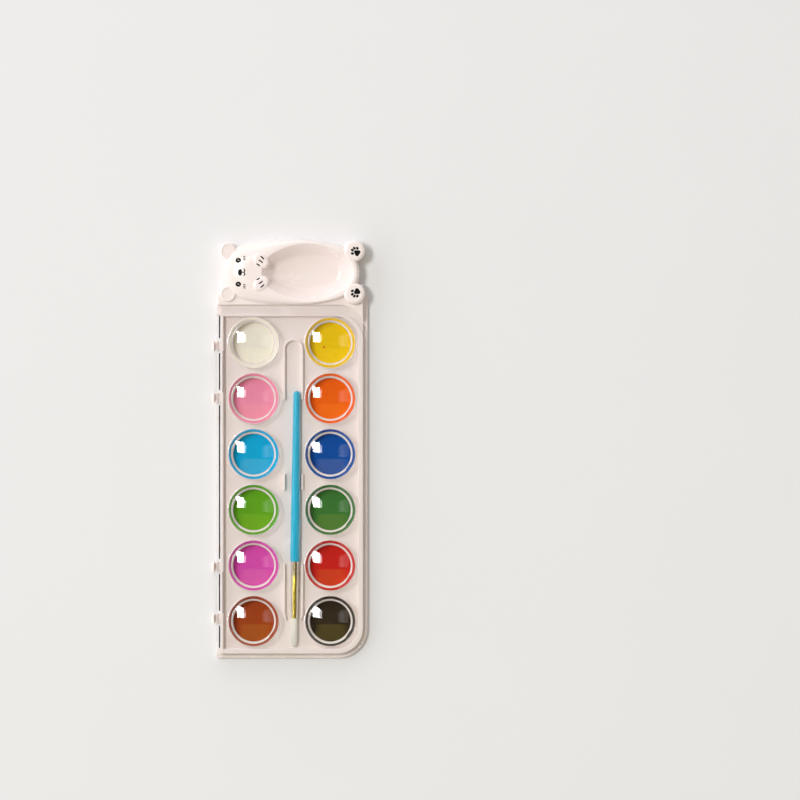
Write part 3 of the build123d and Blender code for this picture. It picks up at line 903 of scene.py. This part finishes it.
@dataclass
class BearPrint:
    """The ink on the bear: a plain animal face, claw strokes and a paw print on each foot.

    Places and sizes are in millimetres and turns in degrees. The face's marks stand on both sides
    of its middle line. A claw has its x, its distance from the paws' middle, its half length and
    its turn. A toe has its place from the middle of the pad, and its turn.
    """

    skin: bpy.types.Object
    middle_y: float = 105.7
    eye_x: float = -30.6
    eye_side: float = 7.15
    eye_radius: float = 1.65
    eye_width: float = 0.92
    glint_shift: float = 0.05
    glint_half: Pair = (0.7, 0.19)
    glint_turn: float = -46.0
    nose_x: float = -29.55
    nose_half: Pair = (2.1, 1.25)
    mouth_x: float = -27.6
    lip_half: Pair = (1.0, 0.27)
    lip_shift: float = -0.1
    smile_side: float = 1.08
    smile_half: Pair = (1.2, 0.40)
    smile_bow: float = -0.9
    blunt: float = 3.0
    cheek_x: float = -26.95
    cheek_side: float = 8.45
    cheek_step: float = 0.95
    cheek_half: Pair = (0.75, 0.27)
    cheek_turn: float = -16.0
    claw_middle: float = 105.9
    claw_width: float = 0.41
    claw_bow: float = 0.12
    claw_bluntness: float = 2.6
    claw_places: tuple[tuple[float, ...], ...] = (
        (-16.15, 8.4, 1.55, -44.0), (-17.15, 6.3, 1.55, -35.0), (-18.75, 4.2, 1.3, -34.0)
    )
    foot_x: float = 40.7
    foot_side: float = 11.6
    pad_half: Pair = (1.85, 1.8)
    pad_turn: float = 26.0
    pad_lobes: float = 0.15
    toe_half: Pair = (0.98, 0.75)
    toe_places: tuple[tuple[float, ...], ...] = (
        (-2.9, 1.62, -41.0), (-1.73, 2.75, -52.0), (0.09, 2.75, -50.0), (-2.87, -0.38, -20.0)
    )
    film: float = 0.03
    rings: int = 6
    spokes: int = 28

    def eyes(self) -> list[InkMark]:
        """Returns the two round eyes."""
        half = (self.eye_radius, self.eye_radius * self.eye_width)
        return [InkMark(self.eye_x, self.middle_y + side * self.eye_side, half) for side in (1, -1)]

    def glints(self) -> list[InkMark]:
        """Returns the small pale glint inside each eye."""
        x, middle = self.eye_x + self.glint_shift, self.middle_y + self.glint_shift
        return [
            InkMark(x, middle + side * self.eye_side, self.glint_half, self.glint_turn)
            for side in (1, -1)
        ]

    def snout(self) -> list[InkMark]:
        """Works out the oval nose, the short line below it and the mouth's two small arcs.

        Returns:
            The four marks.
        """
        nose = InkMark(self.nose_x, self.middle_y, self.nose_half, 90.0)
        lip_x = self.mouth_x + self.lip_shift
        lip = InkMark(lip_x, self.middle_y, self.lip_half, squareness=self.blunt)
        arcs = [
            InkMark(
                self.mouth_x, self.middle_y + side * self.smile_side, self.smile_half, 90.0,
                self.smile_bow, self.blunt,
            )
            for side in (1, -1)
        ]
        return [nose, lip, *arcs]

    def cheeks(self) -> list[InkMark]:
        """Works out the three short grey lines below each eye.

        Returns:
            The six marks.
        """
        return [
            InkMark(
                self.cheek_x, self.middle_y + side * self.cheek_side + step * self.cheek_step,
                self.cheek_half, self.cheek_turn, squareness=self.blunt,
            )
            for side in (1, -1)
            for step in (-1, 0, 1)
        ]

    def claws(self) -> list[InkMark]:
        """Works out the three claw strokes on each paw.

        Returns:
            The six marks.
        """
        return [
            InkMark(
                x, self.claw_middle + side * y, (half, self.claw_width), turn * side,
                self.claw_bow * side, self.claw_bluntness,
            )
            for x, y, half, turn in self.claw_places
            for side in (1, -1)
        ]

    def paw_prints(self) -> list[InkMark]:
        """Works out the pad and the four toes printed on each foot.

        Returns:
            The ten marks.
        """
        marks = []
        for side in (1, -1):
            pad_y = self.middle_y + side * self.foot_side
            pad_turn = self.pad_turn * side
            marks.append(InkMark(self.foot_x, pad_y, self.pad_half, pad_turn, lobes=self.pad_lobes))
            marks.extend(
                InkMark(self.foot_x + x, pad_y + side * y, self.toe_half, turn * side)
                for x, y, turn in self.toe_places
            )
        return marks

    def lay(self, name: str, marks: list[InkMark], films: int, ink: bpy.types.Material) -> bpy.types.Object:
        """Makes one piece from a set of marks and lays it on the bear's surface.

        A mark's rings run outwards, so its faces are turned over to look up.

        Args:
            name: the piece's name.
            marks: the shapes that it holds.
            films: how many films of ink it stands off the surface.
            ink: the ink's material.

        Returns:
            The piece.
        """
        flat = [mark.points(self.rings, self.spokes) for mark in marks]
        starts = range(0, len(marks) * self.rings * self.spokes, self.rings * self.spokes)
        quads = [grid_faces(self.spokes, self.rings, True, start) for start in starts]
        piece = mesh_piece(name, np.concatenate(flat), np.concatenate(quads)[:, ::-1])
        drop = piece.modifiers.new("drop", "SHRINKWRAP")
        drop.target = self.skin
        drop.wrap_method = "PROJECT"
        drop.use_project_z = True
        drop.use_negative_direction = True
        drop.use_positive_direction = False
        drop.offset = self.film * films * MM
        laid = piece.evaluated_get(bpy.context.evaluated_depsgraph_get())
        mesh = bpy.data.meshes.new_from_object(laid)
        piece.modifiers.clear()
        piece.data = mesh
        mesh.name = name
        weld(piece)
        dress(piece, ink)
        return piece

    def build(self, inks: dict[Ink, bpy.types.Material]) -> None:
        """Prints every mark on the bear and sets the pieces on the tray's body.

        Args:
            inks: the material of each ink.
        """
        pieces = [
            self.lay("eye_ink", self.eyes(), 1, inks[Ink.BLACK]),
            self.lay("eye_glint", self.glints(), 2, inks[Ink.WHITE]),
            self.lay("snout_ink", self.snout(), 1, inks[Ink.BLACK]),
            self.lay("cheek_ink", self.cheeks(), 1, inks[Ink.GREY]),
            self.lay("claw_ink", self.claws(), 1, inks[Ink.BLACK]),
            self.lay("foot_ink", self.paw_prints(), 1, inks[Ink.BLACK]),
        ]
        for piece in pieces:
            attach(piece, Body.TRAY.value)
        log.info("printed %d ink pieces on the bear", len(pieces))


@dataclass
class BrushTuft:
    """The brush's hair: fine tapering strands that leave the ferrule together and spread a little.

    A strand is a tapering tube on a grid of steps along it and corners around it. Sizes are in
    millimetres, and the brush's turn about Z in degrees. The scatters are the usual differences
    from strand to strand.
    """

    turn: float
    strands: int = 620
    steps: int = 7
    corners: int = 5
    length: float = 17.0
    into_ferrule: float = 2.6
    root_radius: float = 1.80
    belly_radius: float = 2.0
    tip_radius: float = 1.84
    end_drop: float = 2.4
    hair_root: float = 0.075
    hair_tip: float = 0.03
    hair_taper: float = 1.5
    place_scatter: float = 0.06
    length_scatter: float = 0.28
    lean_scatter: float = 0.04
    waver: float = 0.05
    half_waves: float = 2.5
    wave_start: float = 6.28
    seed: int = 7

    def centre_lines(self) -> tuple[np.ndarray, np.ndarray]:
        """Works out each strand's middle line.

        A strand starts at a sunflower seed's place in the ferrule. Its distance from the tuft's
        axis goes from the root's radius through the belly's to the tip's along a smooth curve,
        and a slow sine of its own makes it waver.

        Returns:
            The points as strand, step and the three axes, in millimetres along +Z, and each
            step's share of the strand's length.
        """
        chance = np.random.default_rng(self.seed)
        index = np.arange(self.strands)[:, None]
        share = np.sqrt((index + 0.5) / self.strands)
        scatter = chance.normal(0.0, self.place_scatter, index.shape)
        turn = index * math.pi * (3 - math.sqrt(5)) + scatter
        along = np.linspace(0.0, 1.0, self.steps)[None, :]
        bulge = self.root_radius + (self.belly_radius - self.root_radius) * np.sin(np.pi * along / 2)
        bulge = bulge + (self.tip_radius - self.belly_radius) * along**3
        scatter = chance.normal(0.0, self.length_scatter, index.shape)
        reach = self.length - self.end_drop * share**2 + scatter
        start = chance.uniform(0, self.wave_start, index.shape)
        waver = self.waver * along * np.sin(self.half_waves * along * np.pi + start)
        lean = chance.normal(0.0, self.lean_scatter, (self.strands, 2))
        distance = np.clip(share * bulge + waver, 0.0, self.belly_radius)
        x = distance * np.cos(turn) + lean[:, :1] * along**2
        y = distance * np.sin(turn) + lean[:, 1:] * along**2
        z = -self.into_ferrule + (np.minimum(reach, self.length) + self.into_ferrule) * along
        return np.stack([x, y, z], axis=-1), np.broadcast_to(along, x.shape)

    def build(self, mouth: Point, finish: bpy.types.Material) -> bpy.types.Object:
        """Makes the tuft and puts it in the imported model's place.

        A point is the strand's middle line plus a circle of the strand's radius, turned about Z
        and laid along -Y from the ferrule's end.

        Args:
            mouth: the middle of the ferrule's end, in metres.
            finish: the hair's material.

        Returns:
            The tuft's piece.
        """
        lines, along = self.centre_lines()
        corner = np.linspace(0.0, 2 * np.pi, self.corners, endpoint=False)
        around = np.stack([np.cos(corner), np.sin(corner), np.zeros_like(corner)], axis=-1)
        thick = self.hair_root + (self.hair_tip - self.hair_root) * along**self.hair_taper
        points = lines[:, :, None, :] + thick[:, :, None, None] * around[None, None, :, :]
        turn = math.radians(self.turn)
        across, out, down = points[..., 0], points[..., 1], points[..., 2]
        x = mouth[0] / MM + across * math.cos(turn) - down * math.sin(turn)
        y = mouth[1] / MM - across * math.sin(turn) - down * math.cos(turn)
        z = mouth[2] / MM + out
        placed = np.stack([x, y, z], axis=-1).reshape(-1, 3) * MM
        one = grid_faces(self.corners, self.steps, True)
        per_strand = self.corners * self.steps
        offsets = (np.arange(self.strands) * per_strand)[:, None, None]
        quads = (one[None, :, :] + offsets).reshape(-1, 4)
        piece = mesh_piece("brush_tuft", placed, quads)
        chance = np.random.default_rng(self.seed + 1)
        point_attribute(piece, "strand", np.repeat(chance.random(self.strands), per_strand))
        point_attribute(piece, "along", np.repeat(along.reshape(-1), self.corners))
        dress(piece, finish)
        return piece


@dataclass
class Tray:
    """The moulded tray with the bear, and the twelve paint cakes that lie in its wells.

    The yellow cake has a speck of another paint, at a place in millimetres.
    """

    node: bpy.types.Object
    speck: Pair = (20.75, 60.9)

    def dress(self, effects: EffectShelf) -> None:
        """Gives the tray its plastic."""
        dress(self.node, TrayPlastic("tray_plastic").make(effects))
        log.info("dressed the tray")

    def dress_paints(self, nodes: dict[str, bpy.types.Object], effects: EffectShelf) -> None:
        """Gives each cake its own pressed paint.

        Args:
            nodes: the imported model's pieces by name.
            effects: the shared effects.
        """
        for pan in Pan:
            name, colour = pan.value
            speck = self.speck if pan is Pan.YELLOW else None
            dress(nodes[f"paint_{name}"], PressedPaint(f"paint_{name}_cake", colour, speck).make(effects))
            log.info("dressed the %s paint", name)

    def print_bear(self, effects: EffectShelf) -> None:
        """Prints the bear's face and paws."""
        inks = {ink: PrintInk(*ink.value).make(effects) for ink in Ink}
        BearPrint(self.node).build(inks)


@dataclass
class Lid:
    """The clear hinged lid with its twelve bubbles."""

    node: bpy.types.Object

    def dress(self, effects: EffectShelf) -> None:
        """Gives the lid its clear plastic."""
        dress(self.node, ClearPlastic("lid_clear").make(effects))
        log.info("dressed the lid")


@dataclass
class Brush:
    """The paint brush in its channel: lacquered handle, metal ferrule and a hair tuft."""

    handle: bpy.types.Object
    ferrule: bpy.types.Object
    turn: float = 0.65
    ferrule_end_radius: float = 2.0 * MM

    def dress(self, effects: EffectShelf) -> None:
        """Gives the handle and the ferrule their finishes.

        Args:
            effects: the shared effects.
        """
        dress(self.handle, HandleLacquer("handle_lacquer").make(effects))
        dress(self.ferrule, FerruleMetal("ferrule_metal").make(effects))
        log.info("dressed the handle and the ferrule")

    def mouth(self) -> Point:
        """Works out the middle of the ferrule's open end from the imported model's box.

        Returns:
            The place, in metres.
        """
        low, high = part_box("brush_ferrule")
        turn = math.radians(self.turn)
        x = low.x + self.ferrule_end_radius * math.cos(turn)
        y = low.y + self.ferrule_end_radius * math.sin(turn)
        return x, y, (low.z + high.z) / 2

    def grow_tuft(self) -> None:
        """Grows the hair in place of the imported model's plainer bristles."""
        tuft = BrushTuft(self.turn).build(self.mouth(), Hair("tuft_hair").make())
        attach(tuft, Body.BRUSH.value)
        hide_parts("brush_bristles")
        log.info("grew the tuft")


def facing(away: Vector) -> Euler:
    """Works out the turn of an object that looks back along a direction with +Y upwards.

    Args:
        away: the direction from what it looks at to the object.

    Returns:
        The turn.
    """
    side = Vector((0.0, 1.0, 0.0)).cross(away).normalized()
    return Matrix((side, away.cross(side), away)).transposed().to_euler()


@dataclass(frozen=True)
class SoftLamp:
    """One soft rectangular lamp that faces the set, in metres and watts."""

    name: str
    place: Point
    size: Pair
    power: float
    colour: Colour
    aim: Point = (0.0, -0.02, 0.0)

    def hang(self) -> None:
        """Hangs the lamp."""
        light = bpy.data.lights.new(self.name, "AREA")
        light.shape = "RECTANGLE"
        light.size, light.size_y = self.size
        light.energy = self.power
        light.color = self.colour
        lamp = bpy.data.objects.new(self.name, light)
        lamp.location = self.place
        lamp.rotation_euler = facing((Vector(self.place) - Vector(self.aim)).normalized())
        bpy.context.scene.collection.objects.link(lamp)


@dataclass
class Studio:
    """The pale board, the lamps, the room's light and the camera almost straight above.

    The leans and the walls' turn are in degrees. The sky's values say how high up the walls end
    and the dark ceiling starts. The lamps are the window at the upper left, its dim partner at
    the right and a low warm panel.
    """

    frame_width: float = 480.0 * MM
    middle: Point = (66.35 * MM, 29.1 * MM, 10.0 * MM)
    distance: float = 6.0
    far: float = 20.0
    lean_x: float = 0.3
    lean_y: float = -0.3
    sensor: float = 36.0
    board_half: float = 3.0
    board_flat: float = 0.75
    board_rise: float = 0.25
    board_points: int = 41
    left_wall: Colour = (1.50, 1.48, 1.50)
    right_wall: Colour = (0.50, 0.47, 0.44)
    wall_turn: float = -35.0
    wall_blend: float = 0.8
    ceiling: Colour = (0.035, 0.035, 0.035)
    sky_low: float = 0.60
    sky_high: float = 0.84
    lamps: tuple[SoftLamp, ...] = (
        SoftLamp("window", (-1.09, 0.53, 3.0), (0.50, 0.78), 50.0, (1.0, 0.99, 0.98)),
        SoftLamp("side_panel", (1.06, 0.25, 3.0), (0.60, 1.0), 1.7, (1.0, 0.99, 0.97)),
        SoftLamp("low_panel", (0.1, -1.14, 3.0), (2.6, 1.5), 6.0, (1.0, 0.82, 0.10)),
    )

    def camera(self) -> None:
        """Sets up a long lens that shows the photograph's frame at its distance."""
        lens = bpy.data.cameras.new("camera")
        lens.sensor_width = self.sensor
        lens.lens = self.sensor * self.distance / self.frame_width
        lens.clip_end = self.far
        camera = bpy.data.objects.new("camera", lens)
        bpy.context.scene.collection.objects.link(camera)
        leans = math.tan(math.radians(self.lean_x)), math.tan(math.radians(self.lean_y))
        away = Vector((*leans, 1.0)).normalized()
        camera.location = Vector(self.middle) + away * self.distance
        camera.rotation_euler = facing(away)
        bpy.context.scene.camera = camera

    def board(self, effects: EffectShelf) -> None:
        """Lays the board, a flat grid that rises by the square of the distance past its flat part.

        Args:
            effects: the shared effects.
        """
        line = np.linspace(-1.0, 1.0, self.board_points)
        x, y = np.meshgrid(line, line)
        rise = self.board_rise * np.clip(np.hypot(x, y) - self.board_flat, 0.0, None) ** 2
        points = np.stack([x * self.board_half, y * self.board_half, rise], axis=-1).reshape(-1, 3)
        piece = mesh_piece("board", points, grid_faces(self.board_points, self.board_points, False))
        dress(piece, PaleFloor("board_paper").make(effects))

    def room(self) -> None:
        """Fills the room with pale light that is dark overhead and bright towards the horizon."""
        sky = bpy.data.worlds.new("room")
        bpy.context.scene.world = sky
        sky.use_nodes = True
        bench = Bench(sky.node_tree)
        x, y, z = bench.axes(bench.node("TexCoord").outputs["Generated"])
        share = bench.spread(z, self.sky_low, self.sky_high, 1.0, 0.0)
        turn = math.radians(self.wall_turn)
        along = bench.weigh(x, math.cos(turn), y, math.sin(turn))
        across = bench.spread(along, -self.wall_blend, self.wall_blend)
        walls = bench.mix(across, opaque(self.left_wall), opaque(self.right_wall))
        glow = bench.mix(share, opaque(self.ceiling), walls)
        bench.fill(sky.node_tree.nodes["Background"], {0: glow, 1: 1.0})

    def build(self, effects: EffectShelf) -> None:
        """Sets up the camera, the board, the lamps and the room.

        Args:
            effects: the shared effects.
        """
        self.camera()
        self.board(effects)
        for lamp in self.lamps:
            lamp.hang()
        self.room()
        bpy.context.scene.view_settings.view_transform = "Standard"
        log.info("set up the studio")


def main() -> None:
    """Builds the studio and dresses every part of the set."""
    logging.basicConfig(level=logging.INFO, format="%(name)s: %(message)s")
    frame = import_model()
    nodes = frame["nodes"]
    effects = EffectShelf()
    Studio().build(effects)
    tray = Tray(nodes["tray"])
    tray.dress(effects)
    tray.dress_paints(nodes, effects)
    tray.print_bear(effects)
    brush = Brush(nodes["brush_handle"], nodes["brush_ferrule"])
    brush.dress(effects)
    brush.grow_tuft()
    Lid(nodes["lid"]).dress(effects)


if __name__ == "__main__":
    main()
